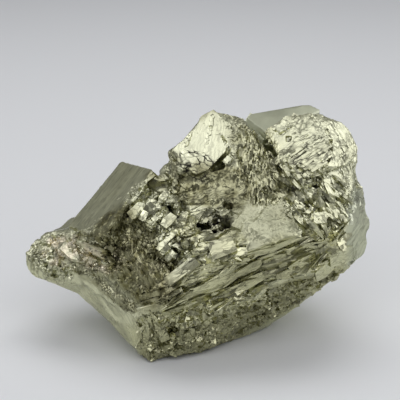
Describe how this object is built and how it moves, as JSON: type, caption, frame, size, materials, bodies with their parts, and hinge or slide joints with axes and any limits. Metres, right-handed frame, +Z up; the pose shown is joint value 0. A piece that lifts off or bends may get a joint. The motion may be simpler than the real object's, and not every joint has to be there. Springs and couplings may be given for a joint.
{
  "type": "pyrite specimen",
  "caption": "Free-standing natural pyrite specimen: intergrown metallic crystals on a broken mass of ore, resting on a flat fracture.",
  "frame": {"origin": "middle of the bounding box's underside, on the surface that the specimen rests on", "axes": "+X to the right along the longest side, +Y away from the viewer, +Z up"},
  "size_m": [0.0996, 0.0614, 0.066],
  "materials": {
    "pyrite": "satin"
  },
  "bodies": {
    "root": {"pyrite_cluster": "pyrite"}
  },
  "joints": []
}
